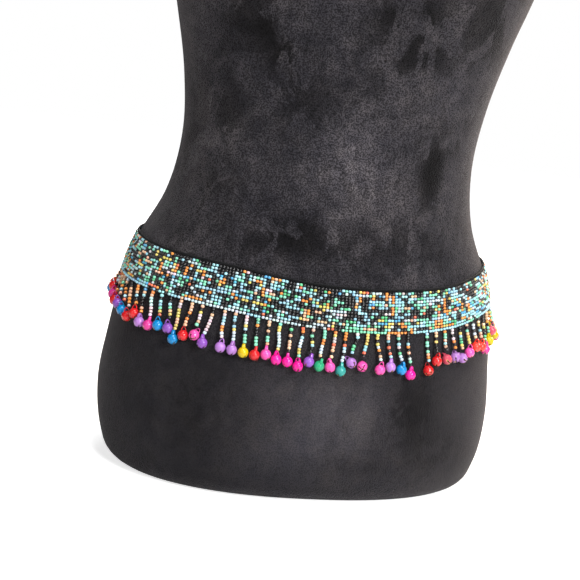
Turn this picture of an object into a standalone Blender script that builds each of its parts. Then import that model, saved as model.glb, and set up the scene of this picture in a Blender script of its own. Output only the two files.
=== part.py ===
"""Beaded hip belt with a fringe of jingle bells, on the limbless dress form that it rests on.

Units are metres and +Z is up.  The form stands on z = 0 and its front faces -Y, so the wearer's
left hip is at +X.  Sizes below are in millimetres, and every mesh is scaled to metres as it is made.

The form is lofted through the levels of FORM_LEVELS.  The belt's pieces are laid on the form's skin:
a place on the belt is a distance along its girth, a height, and how far it stands off the skin.
"""
import math

import bmesh
import bpy
import numpy as np

MM = 0.001
SEAM = 0.3                      # gap kept between neighbouring pieces

# Dress form, one row for each level: half its width, and its depth in front of and behind the axis
FORM_LEVELS = np.array(
    [(0, 158, 106, 104), (30, 167, 110, 118), (60, 170, 104, 124), (100, 166, 100, 122),
     (140, 160, 98, 108), (180, 150, 92, 92), (220, 131, 88, 82), (270, 122, 87, 78),
     (320, 126, 93, 84), (370, 137, 104, 94), (420, 150, 121, 102), (455, 154, 131, 105),
     (490, 153, 131, 106), (530, 152, 120, 106), (570, 155, 105, 104), (600, 160, 93, 100),
     (630, 167, 80, 91), (650, 167, 68, 80), (662, 157, 60, 71), (675, 127, 54, 63),
     (688, 93, 52, 58), (700, 69, 52, 56), (718, 60, 53, 56), (745, 58, 54, 56)],
    dtype=[("height", float), ("half_width", float), ("front", float), ("back", float)])
SQUARENESS = 2.3                # exponent of the form's superellipse sections
BASE_ROUND = 12.0               # radius of the base's lower edge
NECK_ROUND = 5.0                # radius of the neck's upper edge
FORM_SIDES = 44
FORM_STEP = 17.0                # rise from one ring of the form to the next

# Bead sizes that set the belt
BEAD_WIDTH = 2.8
ROW_PITCH = 2.3
BAND_ROWS = 14
BAND_COLUMNS = 285
COLUMNS_PER_STRAND = 3
SKIN_GAP = 0.4                  # the band's inner face to the form

# How the belt hangs on the hips: its top edge's height at places round the form, in degrees from the
# wearer's left, by way of the back (90), the right hip (180) and the front (270)
BELT_LINE = np.array(
    [(0, 194), (30, 193), (60, 192), (90, 191), (120, 190), (150, 188),
     (180, 186), (210, 182), (240, 178), (270, 171), (300, 175), (330, 187)],
    dtype=[("turn", float), ("height", float)])
BACK_GAP = 12.0                 # between the band's two ends at the centre back

CORD_RADIUS = 0.9
BELL_RADIUS = 4.2
BELL_STANDOFF = 4.9             # the bell's centre to the form's skin
BELL_SPACE = 8.3                # least distance between the centres of neighbouring bells
STRAND_SPACE = 5.6              # the same where one bell hangs well below the other
LOOP_DROP = 2.8                 # the eye on the bell, from the last bead to the bell's crown
STRAND_WIDTH = 2.2
BELL_LEVELS = (42.0, 90.0, 138.0)    # the rings of a bell, in degrees from its crown
FRINGE_LENGTHS = 8
BAND_STEPS = 132
CORD_STEPS = 112

# Beads on each strand, from place CHART_START of the fringe on, one hexadecimal digit a strand.
# Places run from the centre back over the wearer's right hip; 0 is a place that has lost its strand.
CHART_START = 15
BEAD_CHART = "88776653566786887" "7a8799999899a899a78" "989b0a777876797" "47"
PLAIN_STRAND = 8                # least beads on a strand beyond the chart

# Runs of strands whose bells hang to one side: first and last place, and their sways in mm
SWAY_RUNS = np.array(
    [(15, 21, 1.0, 6.0), (22, 27, 8.0, 9.0), (28, 31, 8.0, 3.5), (32, 36, 1.5, -2.5), (37, 43, 3.2, -0.5),
     (44, 50, -0.8, -3.0), (51, 54, 3.0, 3.2), (56, 57, 1.2, 0.4), (58, 59, 4.3, 4.0), (60, 66, 1.0, -6.5),
     (67, 71, -5.0, 0.0)],
    dtype=[("first", int), ("last", int), ("start", float), ("end", float)])
SWAY_JITTER = 0.4               # and how far each one strays from its run, as a wave along the fringe
SWAY_WAVE = 2.4                 # radians of that wave from one strand to the next
PUSH_ROUNDS = 400

# Back closure: two cord loops over round beads
CLOSURE_HEIGHTS = (-9.0, 9.0)
CLOSURE_BEAD_RADIUS = 3.6
SHANK_RADIUS = 1.0
LOOP_CORD_RADIUS = 0.7
LOOP_END_RADIUS = 2.3
LOOP_REACH = 11.0
LOOP_END_STEPS = 7
LOOP_RUN_STEPS = 8
BALL_LEVELS = (164.0, 125.0, 90.0, 55.0, 22.0)    # the rings of a closure bead, in degrees from its outer pole

CORNERS = np.radians([45, 135, 225, 315])         # where a four-sided cord has its edges
GIRTH_STEPS = 1440
SHARP_ANGLE = 35.0


def smooth_curve(places, sizes, at):
    """A size between its rows: a cubic through them, with slopes taken from the neighbouring rows."""
    slopes = np.gradient(sizes, places)
    below = np.clip(np.searchsorted(places, at, side="right") - 1, 0, len(places) - 2)
    step = places[below + 1] - places[below]
    t = (at - places[below]) / step
    return (sizes[below] * (1 + 2 * t) * (1 - t) ** 2 + slopes[below] * step * t * (1 - t) ** 2
            + sizes[below + 1] * t * t * (3 - 2 * t) + slopes[below + 1] * step * t * t * (t - 1))


def level_size(column, height):
    """One size of the form at a height."""
    return smooth_curve(FORM_LEVELS["height"], FORM_LEVELS[column], height)


def form_skin(turn, height, out=0.0):
    """Points standing a distance off the form: (|x|/a)^n + (|y|/b)^n = 1 at each height, moved along its normal.

    turn is in radians: 0 at the wearer's left, pi/2 at the back, pi at the right, 3 pi/2 at the front.
    """
    turn, height, out = np.broadcast_arrays(turn, height, out)
    across, along = np.cos(turn), np.sin(turn)
    width = level_size("half_width", height)
    depth = np.where(along > 0, level_size("back", height), level_size("front", height))
    x = width * np.sign(across) * np.abs(across) ** (2 / SQUARENESS)
    y = depth * np.sign(along) * np.abs(along) ** (2 / SQUARENESS)
    normal_x = np.sign(x) * np.abs(x / width) ** (SQUARENESS - 1) / width
    normal_y = np.sign(y) * np.abs(y / depth) ** (SQUARENESS - 1) / depth
    size = np.hypot(normal_x, normal_y)
    return np.stack([x + out * normal_x / size, y + out * normal_y / size, height + 0.0 * x], axis=-1)


def top_edge(turn):
    """Height of the band's top edge at a turn, in radians, with the rows of BELT_LINE repeated all round."""
    places = np.concatenate([BELT_LINE["turn"] + round_trip for round_trip in (-360, 0, 360)])
    return smooth_curve(places, np.tile(BELT_LINE["height"], 3), np.degrees(turn) % 360)


BAND_HEIGHT = BAND_ROWS * ROW_PITCH
TURNS = np.linspace(math.pi / 2, 5 * math.pi / 2, GIRTH_STEPS + 1)
GIRTH_LINE = form_skin(TURNS, top_edge(TURNS) - BAND_HEIGHT / 2, SKIN_GAP + BEAD_WIDTH / 2)
GIRTH_RUN = np.append(0.0, np.cumsum(np.linalg.norm(np.diff(GIRTH_LINE, axis=0), axis=1)))
GIRTH = GIRTH_RUN[-1]
STRAND_PITCH = (GIRTH - BACK_GAP) / BAND_COLUMNS * COLUMNS_PER_STRAND
PLACES = np.arange(BAND_COLUMNS // COLUMNS_PER_STRAND)


def turn_at(distance):
    """The turn round the form at a distance along the belt, from the centre back over the right hip."""
    return np.interp(distance, GIRTH_RUN, TURNS)


def on_belt(distance, drop, out):
    """Points on the belt: a distance along it, a drop below its top edge, and a stand-off from the skin."""
    turn = turn_at(distance)
    return form_skin(turn, top_edge(turn) - drop, out)


def new_object(name, mesh_data, material, parts):
    """Makes the object from a bmesh in millimetres, with its faces pointing out."""
    bmesh.ops.recalc_face_normals(mesh_data, faces=mesh_data.faces)
    bmesh.ops.scale(mesh_data, vec=(MM, MM, MM), verts=mesh_data.verts)
    mesh = bpy.data.meshes.new(name)
    mesh_data.to_mesh(mesh)
    mesh_data.free()
    mesh.shade_smooth()
    mesh.set_sharp_from_angle(angle=math.radians(SHARP_ANGLE))
    mesh.materials.append(material)
    item = bpy.data.objects.new(name, mesh)
    parts.objects.link(item)
    return item


def add_ring(mesh_data, points):
    return [mesh_data.verts.new(point) for point in points]


def bridge(mesh_data, ring, following):
    """Joins two rings of the same size with a band of four-sided faces."""
    for k in range(len(ring)):
        after = (k + 1) % len(ring)
        mesh_data.faces.new((ring[k], ring[after], following[after], following[k]))


def flare(mesh_data, ring, following):
    """Joins a ring to one of twice its points: three triangles on each side of the smaller ring."""
    for k in range(len(ring)):
        after = (k + 1) % len(ring)
        corner, middle, next_corner = 2 * k, 2 * k + 1, 2 * after
        mesh_data.faces.new((ring[k], following[middle], following[corner]))
        mesh_data.faces.new((ring[k], ring[after], following[middle]))
        mesh_data.faces.new((ring[after], following[next_corner], following[middle]))


def loft(mesh_data, rings, closed=False):
    """A skin through rings of points, capped at both ends, or closed on itself."""
    made = [add_ring(mesh_data, ring) for ring in rings]
    for ring, following in zip(made, made[1:]):
        bridge(mesh_data, ring, following)
    if closed:
        bridge(mesh_data, made[-1], made[0])
    else:
        mesh_data.faces.new(made[0])
        mesh_data.faces.new(made[-1])
    return made


def make_material(name, colour, roughness, metallic=0.0):
    material = bpy.data.materials.new(name)
    material.use_nodes = True
    shader = material.node_tree.nodes["Principled BSDF"]
    shader.inputs["Base Color"].default_value = (*colour, 1.0)
    shader.inputs["Roughness"].default_value = roughness
    shader.inputs["Metallic"].default_value = metallic
    return material


def make_form(material, parts):
    """The dress form: rings of the skin, drawn in round the base's and the neck's edges."""
    top = FORM_LEVELS["height"][-1]
    turns = np.linspace(0, 2 * math.pi, FORM_SIDES, endpoint=False)
    base_arc = np.radians([0, 45, 90])
    levels = [(BASE_ROUND * (1 - math.cos(a)), -BASE_ROUND * (1 - math.sin(a))) for a in base_arc]
    middle = np.linspace(BASE_ROUND, top - NECK_ROUND, round((top - BASE_ROUND - NECK_ROUND) / FORM_STEP))
    levels += [(height, 0.0) for height in middle[1:-1]]
    neck_arc = np.radians([0, 45, 90])
    levels += [(top - NECK_ROUND * (1 - math.sin(a)), -NECK_ROUND * (1 - math.cos(a))) for a in neck_arc]
    body = bmesh.new()
    loft(body, [form_skin(turns, height, out) for height, out in levels])
    return new_object("dress_form", body, material, parts)


def make_band(material, parts):
    """The band but for its lowest row: a wall one bead thick, from one end at the back to the other."""
    depth = (BAND_ROWS - 1) * ROW_PITCH - SEAM
    inner, outer = SKIN_GAP, SKIN_GAP + BEAD_WIDTH
    drops = np.array([0, depth / 2, depth, depth, depth / 2, 0])
    outs = np.array([inner, inner, inner, outer, outer, outer])
    body = bmesh.new()
    stops = np.linspace(BACK_GAP / 2, GIRTH - BACK_GAP / 2, BAND_STEPS)
    loft(body, [on_belt(stop, drops, outs) for stop in stops])
    return new_object("bead_band", body, material, parts)


def make_edge_cord(material, parts):
    """The black cord that lies along the band's top edge, with its ends at the back closure."""
    drops = -SEAM - CORD_RADIUS + CORD_RADIUS * np.sin(CORNERS)
    outs = SKIN_GAP + BEAD_WIDTH / 2 + CORD_RADIUS * np.cos(CORNERS)
    body = bmesh.new()
    stops = np.linspace(BACK_GAP / 2, GIRTH - BACK_GAP / 2, CORD_STEPS)
    loft(body, [on_belt(stop, drops, outs) for stop in stops])
    return new_object("edge_cord", body, material, parts)


def strand_beads():
    """Beads on the strand at each place: from the chart, or 8 to 10 in an uneven order beyond it."""
    beads = PLAIN_STRAND + (PLACES * 5 % 7) % 3
    for place, digit in enumerate(BEAD_CHART, start=CHART_START):
        beads[place] = int(digit, 16)
    return beads


def strand_sways(beads):
    """How far each bell hangs to the side of its root, once the bells have pushed each other apart.

    Each pair of neighbours that is closer than a bell, measured along the slant between them, moves
    apart by half of what it lacks, many times over.
    """
    sways = SWAY_JITTER * np.sin(SWAY_WAVE * PLACES)
    for run in SWAY_RUNS:
        span = np.arange(run["first"], run["last"] + 1)
        sways[span] += np.linspace(run["start"], run["end"], len(span))
    kept = np.flatnonzero(beads)
    roots = kept * STRAND_PITCH
    bells = roots + sways[kept]
    below = np.diff(beads[kept]) * ROW_PITCH
    least = np.sqrt(np.maximum(BELL_SPACE ** 2 - below ** 2, STRAND_SPACE ** 2))
    for _ in range(PUSH_ROUNDS):
        push = np.maximum(least - np.diff(bells), 0) / 2
        bells[:-1] -= push
        bells[1:] += push
    sways[kept] = bells - roots
    return sways


STRAND_BEADS = strand_beads()
STRAND_SWAYS = strand_sways(STRAND_BEADS)


def add_strand(mesh_data, root, place, distance, root_drop):
    """Carries a strand from its root face down to its bell, as one skin.

    The strand keeps four sides and narrows at its end.  It moves off the skin as t squared, because the
    bell holds it away, and its sway grows the same way.  The bell is rings of eight points about its
    centre.
    """
    sway = STRAND_SWAYS[place]
    length = STRAND_BEADS[place] * ROW_PITCH
    mid_out = SKIN_GAP + BEAD_WIDTH / 2
    half = STRAND_WIDTH / 2
    ring = root
    for t, narrow in ((0.5, 1.0), (1.0, 0.6)):
        side = distance + sway * t * t + half * narrow * np.array([-1, 1, 1, -1])
        out = mid_out + (BELL_STANDOFF - mid_out) * t * t + half * narrow * np.array([-1, -1, 1, 1])
        following = add_ring(mesh_data, on_belt(side, root_drop + length * t, out))
        bridge(mesh_data, ring, following)
        ring = following
    angles = np.radians(np.arange(8) * 45.0 - 135.0)
    centre_drop = root_drop + length + LOOP_DROP + BELL_RADIUS
    centre, beyond = on_belt(distance + sway, centre_drop, BELL_STANDOFF + np.array([0.0, 1.0]))
    outward = beyond - centre
    sideways = np.array([-outward[1], outward[0], 0.0])
    around = np.outer(np.cos(angles), sideways) + np.outer(np.sin(angles), outward)
    for polar in np.radians(BELL_LEVELS):
        level = centre + BELL_RADIUS * math.cos(polar) * np.array([0.0, 0.0, 1.0])
        following = add_ring(mesh_data, level + BELL_RADIUS * math.sin(polar) * around)
        if len(ring) == 4:
            flare(mesh_data, ring, following)
        else:
            bridge(mesh_data, ring, following)
        ring = following
    mesh_data.faces.new(ring)


def make_fringe(name, places, material, parts):
    """One length of fringe: its row of beads as a narrow strip, with a strand below every third bead."""
    top = (BAND_ROWS - 1) * ROW_PITCH
    inner, outer = SKIN_GAP, SKIN_GAP + BEAD_WIDTH
    middles = BACK_GAP / 2 + (places + 0.5) * STRAND_PITCH
    half = STRAND_WIDTH / 2
    ends = (middles[0] - STRAND_PITCH / 2 + SEAM / 2, middles[-1] + STRAND_PITCH / 2 - SEAM / 2)
    stops = np.concatenate([[ends[0]], np.ravel([(m - half, m + half) for m in middles]), [ends[1]]])
    drops = np.array([BAND_HEIGHT, top, top, BAND_HEIGHT])
    outs = np.array([inner, inner, outer, outer])
    body = bmesh.new()
    rings = [add_ring(body, on_belt(stop, drops, outs)) for stop in stops]
    body.faces.new(rings[0])
    body.faces.new(rings[-1])
    for span, (ring, following) in enumerate(zip(rings, rings[1:])):
        for k in range(3):
            body.faces.new((ring[k], ring[k + 1], following[k + 1], following[k]))
        under = (ring[0], following[0], following[3], ring[3])
        strand = span // 2
        if span % 2 == 1 and STRAND_BEADS[places[strand]]:
            add_strand(body, under, places[strand], middles[strand], BAND_HEIGHT)
        else:
            body.faces.new(under)
    return new_object(name, body, material, parts)


def make_closure(number, drop, cord_material, bead_material, parts):
    """A round bead on the band's left end, and the cord loop that passes round its shank."""
    face = SKIN_GAP + BEAD_WIDTH + SEAM
    shank_place = GIRTH - BACK_GAP / 2 - LOOP_REACH / 2
    height = top_edge(math.pi / 2) - drop
    surface, above = form_skin(turn_at(shank_place), height + np.array([0.0, 1.0]), SKIN_GAP + BEAD_WIDTH)
    beyond = form_skin(turn_at(shank_place), height, face) - surface
    side = np.array([-beyond[1], beyond[0], 0.0]) / np.linalg.norm(beyond)
    upright = (above - surface) / np.linalg.norm(above - surface)
    across = np.cross(side, upright)
    foot = surface + SEAM * across
    middle = foot + (2 * LOOP_CORD_RADIUS + SEAM + CLOSURE_BEAD_RADIUS) * across
    angles = np.radians(np.arange(8) * 45.0)
    around = np.outer(np.cos(angles), side) + np.outer(np.sin(angles), upright)
    body = bmesh.new()
    rings = [foot + SHANK_RADIUS * around]
    for polar in np.radians(BALL_LEVELS):
        rings.append(middle + CLOSURE_BEAD_RADIUS * (math.sin(polar) * around + math.cos(polar) * across))
    loft(body, rings)
    new_object(f"closure_bead_{number}", body, bead_material, parts)

    start = BACK_GAP / 2 + LOOP_REACH / 2
    reach = GIRTH - shank_place + start
    bends = np.radians(np.linspace(-90, 90, LOOP_END_STEPS))
    far = [(-LOOP_END_RADIUS * math.cos(a), LOOP_END_RADIUS * math.sin(a)) for a in bends]
    near = [(LOOP_END_RADIUS * math.cos(a), -LOOP_END_RADIUS * math.sin(a)) for a in bends]
    runs = np.linspace(0, 1, LOOP_RUN_STEPS)[1:-1]
    path = [(shank_place + along, up) for along, up in far]
    path += [(shank_place + reach * run, LOOP_END_RADIUS) for run in runs]
    path += [(GIRTH + start + along, up) for along, up in near]
    path += [(shank_place + reach * run, -LOOP_END_RADIUS) for run in runs[::-1]]
    flat = np.array(path)
    ahead = np.roll(flat, -1, axis=0) - np.roll(flat, 1, axis=0)
    ahead /= np.linalg.norm(ahead, axis=1)[:, None]
    beside = np.stack([ahead[:, 1], -ahead[:, 0]], axis=1)
    body = bmesh.new()
    rings = []
    for place, sideways in zip(flat, beside):
        moved = place + LOOP_CORD_RADIUS * np.cos(CORNERS)[:, None] * sideways
        out = face + LOOP_CORD_RADIUS + LOOP_CORD_RADIUS * np.sin(CORNERS)
        rings.append(form_skin(turn_at(moved[:, 0] % GIRTH), height + moved[:, 1], out))
    loft(body, rings, closed=True)
    new_object(f"closure_loop_{number}", body, cord_material, parts)


def main():
    for item in list(bpy.data.objects):
        bpy.data.objects.remove(item, do_unlink=True)
    parts = bpy.data.collections.new("beaded_belt")
    bpy.context.scene.collection.children.link(parts)

    velvet = make_material("velvet", (0.045, 0.041, 0.044), 0.95)
    beads = make_material("seed_beads", (0.18, 0.42, 0.42), 0.25)
    strands = make_material("strand_beads", (0.75, 0.25, 0.30), 0.30)
    black_cord = make_material("black_cord", (0.012, 0.012, 0.012), 0.70)
    black_glass = make_material("black_glass", (0.010, 0.010, 0.012), 0.15)

    make_form(velvet, parts)
    make_band(beads, parts)
    make_edge_cord(black_cord, parts)
    for length, places in enumerate(np.array_split(PLACES, FRINGE_LENGTHS), start=1):
        make_fringe(f"fringe_{length}", places, strands, parts)
    for number, drop in enumerate(CLOSURE_HEIGHTS, start=1):
        make_closure(number, BAND_HEIGHT / 2 - drop, black_cord, black_glass, parts)


main()
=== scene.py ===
"""Looks of the beaded hip belt and of the limbless dress form that it rests on.

Sizes are in millimetres until a mesh is made, and +Z is up.  The form stands on z = 0 and its front
faces -Y, so the wearer's left hip is at +X.  The tables and formulas of the form and the belt are the
ones that the solids were made from.  The belt is loomed: threads run round it between the rows of
beads, and one thread goes down through each column.  Every third column hangs on as a strand of the
fringe, with a bell at its end.
"""
import math

import bpy
import numpy as np
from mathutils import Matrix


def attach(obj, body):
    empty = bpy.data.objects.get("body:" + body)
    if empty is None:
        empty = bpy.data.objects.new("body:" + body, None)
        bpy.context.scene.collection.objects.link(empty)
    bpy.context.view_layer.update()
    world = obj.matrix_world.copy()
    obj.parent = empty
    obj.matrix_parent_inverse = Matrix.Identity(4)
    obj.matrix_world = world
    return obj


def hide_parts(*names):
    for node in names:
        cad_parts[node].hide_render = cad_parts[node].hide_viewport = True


MM = 0.001
SEAM = 0.3  # gap kept between neighbouring solids
FLAT = np.array([1.0, 1.0, 0.0])


def table(columns, rows):
    """Rows of numbers as an array with named columns."""
    return np.array(rows, dtype=[(name, float) for name in columns.split()])


# Dress form, one row for each level: half its width, and its depth in front of and behind the axis
FORM_LEVELS = table(
    "height half_width front back",
    [(0, 158, 106, 104), (30, 167, 110, 118), (60, 170, 104, 124), (100, 166, 100, 122),
     (140, 160, 98, 108), (180, 150, 92, 92), (220, 131, 88, 82), (270, 122, 87, 78),
     (320, 126, 93, 84), (370, 137, 104, 94), (420, 150, 121, 102), (455, 154, 131, 105),
     (490, 153, 131, 106), (530, 152, 120, 106), (570, 155, 105, 104), (600, 160, 93, 100),
     (630, 167, 80, 91), (650, 167, 68, 80), (662, 157, 60, 71), (675, 127, 54, 63),
     (688, 93, 52, 58), (700, 69, 52, 56), (718, 60, 53, 56), (745, 58, 54, 56)])
SQUARENESS = 2.3  # exponent of the form's superellipse sections
BASE_ROUND = 12.0  # radius of the base's lower edge
NECK_ROUND = 5.0  # radius of the neck's upper edge
FORM_SIDES = 176
FORM_RINGS = 120
END_RINGS = (0.05, 0.3, 0.6, 0.85, 0.97)  # rings of the flat ends, as shares of their edge

# Bead sizes that set the belt
BEAD_WIDTH = 2.8
ROW_PITCH = 2.3
BAND_ROWS = 14
BAND_COLUMNS = 285
COLUMNS_PER_STRAND = 3
SKIN_GAP = 0.4  # the band's inner face to the form
BAND_FACE = SKIN_GAP + BEAD_WIDTH
MID_OUT = SKIN_GAP + BEAD_WIDTH / 2

# The web of threads between the beads: half its thickness, and how far it stops short of the band's
# edges and ends
GROUND_HALF = 0.28
GROUND_INSET = 0.15
GROUND_END = 0.2

# How the belt hangs on the hips: its top edge's height at places round the form, in degrees from the
# wearer's left, by way of the back (90), the right hip (180) and the front (270)
BELT_LINE = table(
    "turn height",
    [(0, 194), (30, 193), (60, 192), (90, 191), (120, 190), (150, 188),
     (180, 186), (210, 182), (240, 178), (270, 171), (300, 175), (330, 187)])
BACK_GAP = 12.0  # gap between the band's two ends at the centre back

CORD_RADIUS = 0.9
EDGE_CORD_STEPS = 1500
BELL_RADIUS = 4.2
BELL_STANDOFF = 4.9  # the bell's centre to the form's skin
BELL_SPACE = 8.3  # least distance between the centres of neighbouring bells
STRAND_SPACE = 5.6  # the same where one bell hangs well below the other
LOOP_DROP = 2.8  # the eye on the bell, from the last bead to the bell's crown

# Beads on each strand, from place CHART_START of the fringe on, one hexadecimal digit a strand.
# Places run from the centre back over the wearer's right hip; 0 is a place that has lost its strand.
CHART_START = 15
BEAD_CHART = "88776653566786887" "7a8799999899a899a78" "989b0a777876797" "47"
PLAIN_STRAND = 8  # least beads on a strand beyond the chart

# Runs of strands whose bells hang to one side: first and last place, and their sways in mm
SWAY_RUNS = (
    (15, 21, 1.0, 6.0), (22, 27, 8.0, 9.0), (28, 31, 8.0, 3.5), (32, 36, 1.5, -2.5), (37, 43, 3.2, -0.5),
    (44, 50, -0.8, -3.0), (51, 54, 3.0, 3.2), (56, 57, 1.2, 0.4), (58, 59, 4.3, 4.0), (60, 66, 1.0, -6.5),
    (67, 71, -5.0, 0.0))
SWAY_JITTER = 0.4  # and how far each one strays from its run, as a wave along the fringe
SWAY_WAVE = 2.4  # radians of that wave from one strand to the next
STRAND_BEND = 0.45  # spread of the strands' small bends
PUSH_ROUNDS = 400
GIRTH_STEPS = 1440

# Back closure: two cord loops over round beads
CLOSURE_HEIGHTS = (-9.0, 9.0)
CLOSURE_BEAD_RADIUS = 3.6
SHANK_RADIUS = 1.0
LOOP_CORD_RADIUS = 0.7
LOOP_END_RADIUS = 2.3
LOOP_REACH = 11.0  # a loop's stitches and its shank each lie half of this in from the band's ends
LOOP_SAG = 0.25
STITCH_RADIUS = 0.28
STITCH_HALF = 1.1  # half its length
STITCH_PLACE = (1.2, 1.9)  # of the loop's outer stitches, along the belt and up or down

# One seed bead about its hole: radius and rise round its profile; the last row joins the first
BEAD_PROFILE = np.array(
    [(0.45, -0.84), (0.86, -1.04), (1.24, -0.70), (1.40, 0.0), (1.24, 0.70), (0.86, 1.04), (0.45, 0.84)])
BEAD_SIDES = 8
BEAD_LEAN = 0.07  # how far a bead's hole leans from its thread, as a slope
BEAD_SHIFT = 0.14  # how far it sits out of its row
DROP_SHARE = 0.6  # and how much of that goes for up and down
ROW_WANDER = 0.28  # how far rows and columns stray as slow waves

# Sizes of beads over the profile's: the band's and how they spread, and the same on the strands
BAND_SIZE = 0.93
BAND_SPREAD = 0.035
BLACK_SIZE = 0.96  # the band's black beads over its others
STRAND_SIZE = 1.07
STRAND_BLACK_SIZE = 0.90
STRAND_SPREAD = 0.03

# Glass of the beads: its share among the coloured ones of the band, and its sRGB colour
GLASS = {
    "sky": (0.37, 166, 218, 232), "mint": (0.19, 138, 221, 188), "ice": (0.11, 204, 226, 232),
    "orange": (0.07, 246, 152, 76), "peach": (0.07, 238, 190, 154), "blue": (0.05, 94, 174, 214),
    "straw": (0.07, 228, 204, 114), "coral": (0.02, 236, 120, 90), "green": (0.04, 98, 195, 140),
    "pearl": (0.02, 226, 208, 212)}
GLASS_TABLE = np.array(list(GLASS.values()))
BLACK_GLASS = (5, 5, 8)
STRAND_SHARES = (0.11, 0.14, 0.10, 0.15, 0.20, 0.01, 0.13, 0.04, 0.04, 0.08)  # of the same on the strands
TONE_SPREAD = 0.10  # how much beads of one glass differ in lightness, and then in hue
HUE_SPREAD = 0.05

# Chance that a run of one glass ends at a bead: in the band, in its lowest row, and on the strands
RUN_BREAKS = 0.60
LOWEST_ROW_BREAKS = 0.22
STRAND_BREAKS = 0.62

# Share of black beads at columns along the band, and how much each row has more or less than that
BLACK_SHARE = ((0, 120, 140, 150, 170, 284), (0.45, 0.45, 0.47, 0.39, 0.35, 0.42))
BLACK_ROWS = (0.10, 0.06, 0.04, 0.04, 0.02, 0.0, 0.0, 0.02, 0.0, 0.0, -0.04, -0.06, -0.08, -0.30)
BLACK_CARRY = 0.25  # how far a bead's chance of black follows its neighbour's
STRAND_BLACK = 0.24  # share of black beads on the strands
ORANGE_COLUMNS = 46  # short upright runs of orange in the band

# Bell paints by letter, and the bells that hang from place 22 on, one letter a bell
PAINTS = {"R": (208, 31, 36), "M": (208, 54, 140), "P": (139, 80, 180), "B": (6, 126, 188),
          "L": (170, 117, 192), "K": (238, 82, 166), "H": (232, 23, 147), "Y": (213, 182, 3),
          "G": (36, 154, 106), "T": (41, 150, 142), "S": (204, 76, 97), "O": (229, 60, 47)}
PAINT_START = 22
PAINT_CHART = "RMRPBRRLMBPBRKPLLYRKHHHPGKTLKKLBH-RRSLLKOOMYSY"

# Bells that hang askew: place, lean from upright, and where the lowest point swings: 0 is away from
# the form and 90 onward along the belt, in degrees
ASKEW_BELLS = table(
    "place lean swing",
    [(35, 55, -20), (49, 62, 30), (50, 70, -15), (56, 38, -5), (58, 58, 10), (59, 50, -25), (60, 66, 20)])
BELL_LEAN = 9.0  # the other bells' lean, at random, in degrees
PAINT_SPREAD = 0.05  # how much bells of one paint differ in lightness
BRASS = (196, 160, 96)  # where the paint is chipped
DARK_BRASS = (70, 52, 34)  # inside the bell

BELL_WALL = 0.45
SLOT_HALF = 0.34  # half the width of a bell's crossed slots
SLOT_REACH = 50.0  # from the lowest point up to the round holes that end them, in degrees
HOLE_RADIUS = 0.62
PETAL_STEPS = 5  # faces across each of a bell's four petals
CLAPPER_RADIUS = 1.3
CLAPPER_ASIDE = (0.3, 0.2)
EYE_WIDTH = 2.0  # the strap on a bell that its thread goes through
EYE_THICKNESS = 0.6
EYE_HALF_SPAN = 1.5
EYE_HEIGHT = 3.0
EYE_SUNK = 0.5  # how far the middle of its arch lies below the ball's top
EYE_FLARE = 0.3  # how much wider the strap and its span are at its feet
EYE_TURN = 32.0  # how far the eyes turn from edge-on, at random, in degrees
THREAD_RADIUS = 0.2
THREAD_TUCK = 0.8  # how far below an eye's height its thread ends
FRINGE_NODES = [f"fringe_{number}" for number in range(1, 9)]

# The nap's colour where it lies dark and where it lies light
VELVET_DARK = (0.0154, 0.0146, 0.0178)
VELVET_LIGHT = (0.0165, 0.0149, 0.0160)

# Patches where the velvet is lighter or darker: middle, in degrees round the form and mm up it, half sizes
# in the same units, and tone in powers of two.  The light ones are partly the nap and partly painted light,
# most of all the large ones on the middle and the low part of the front; most dark ones are pressed nap, and
# a row of them makes the front darker just above the belt.
NAP_AND_LIGHT_PATCHES = table(
    "turn height half_turn half_height tone",
    [(271, 262, 13, 24, 0.7), (274, 78, 15, 34, 1.3), (265, 42, 13, 22, 0.6), (218, 221, 12, 24, 0.4),
     (206, 345, 9, 38, 0.45), (192, 290, 7, 36, 0.35), (264, 290, 12, 20, 0.35), (300, 323, 8, 22, 0.4),
     (256, 92, 9, 18, 0.4), (299, 266, 5, 22, -2.4), (309, 292, 5, 10, -1.4), (313, 386, 14, 32, -2.0),
     (278, 354, 9, 20, -1.2), (277, 378, 9, 12, -1.3), (256, 209, 7, 12, -1.0), (266, 202, 24, 13, -0.6),
     (240, 197, 14, 12, -0.5), (291, 214, 10, 14, -0.5), (229, 366, 10, 16, -0.9),
     (243, 338, 7, 12, -1.6), (252, 314, 10, 16, -0.6), (236, 356, 5, 8, -0.8), (219, 294, 9, 26, -0.8),
     (220, 238, 7, 12, -0.7), (193, 250, 8, 22, -0.5), (292, 76, 8, 28, -1.7), (215, 12, 32, 12, -0.5),
     (306, 48, 9, 18, -0.6), (214, 70, 13, 44, -0.45), (236, 70, 13, 40, -0.8), (198, 95, 9, 26, -0.5),
     (276, 34, 9, 8, -0.6), (322, 26, 14, 24, -0.8), (251, 293, 10, 18, -0.4), (201, 284, 8, 20, -0.4),
     (199, 46, 10, 30, -0.6), (288, 352, 8, 30, -0.5), (90, 250, 14, 36, 0.8), (75, 80, 18, 34, 0.6),
     (120, 120, 10, 24, -0.7), (60, 300, 8, 24, -1.0), (110, 360, 12, 20, -0.8), (140, 60, 12, 26, 0.4),
     (100, 430, 14, 26, 0.6), (30, 100, 12, 30, -0.6), (160, 330, 10, 26, 0.4), (270, 470, 16, 40, 0.5),
     (240, 540, 12, 22, -0.6), (300, 520, 14, 26, -0.5), (270, 610, 18, 30, 0.4), (0, 560, 14, 30, 0.4),
     (180, 600, 12, 26, -0.5), (90, 560, 16, 40, 0.4), (70, 640, 12, 20, -0.6), (350, 420, 12, 30, -0.5),
     (190, 460, 12, 26, 0.4)])

# Below the belt the pile is brushed smoother: heights in mm, and how rough it is at them
BRUSHED = ((110, 190), (0.35, 1.0))

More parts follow.
